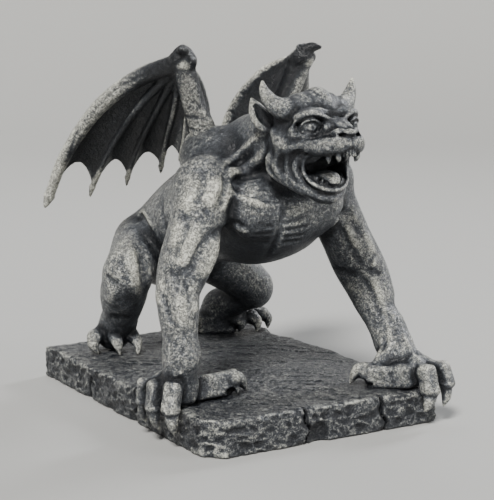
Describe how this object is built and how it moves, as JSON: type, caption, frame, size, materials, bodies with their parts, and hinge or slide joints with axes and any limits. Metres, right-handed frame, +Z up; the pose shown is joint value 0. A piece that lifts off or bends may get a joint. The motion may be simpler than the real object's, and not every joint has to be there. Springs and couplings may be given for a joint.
{
  "type": "stone gargoyle figurine",
  "caption": "Winged, horned gargoyle crouching on all fours on a rough hewn slab, jaws open and wings raised; rests on its flat underside.",
  "frame": {"origin": "middle of the plinth's flat underside", "axes": "+Z up; the creature looks along -Y, its right side is at -X"},
  "size_m": [0.1499, 0.1961, 0.177],
  "materials": {
    "plinth_stone": "dark slate grey, rough hewn, edges dry-brushed pale grey",
    "figure_stone": "dark blue-grey cast stone, raised forms dry-brushed warm light grey, pitted",
    "wing_stone": "dark grey cast stone, ribs dry-brushed pale grey"
  },
  "bodies": {
    "root": {"plinth": "plinth_stone", "figure": "figure_stone", "wing_right": "wing_stone", "wing_left": "wing_stone"}
  },
  "joints": []
}
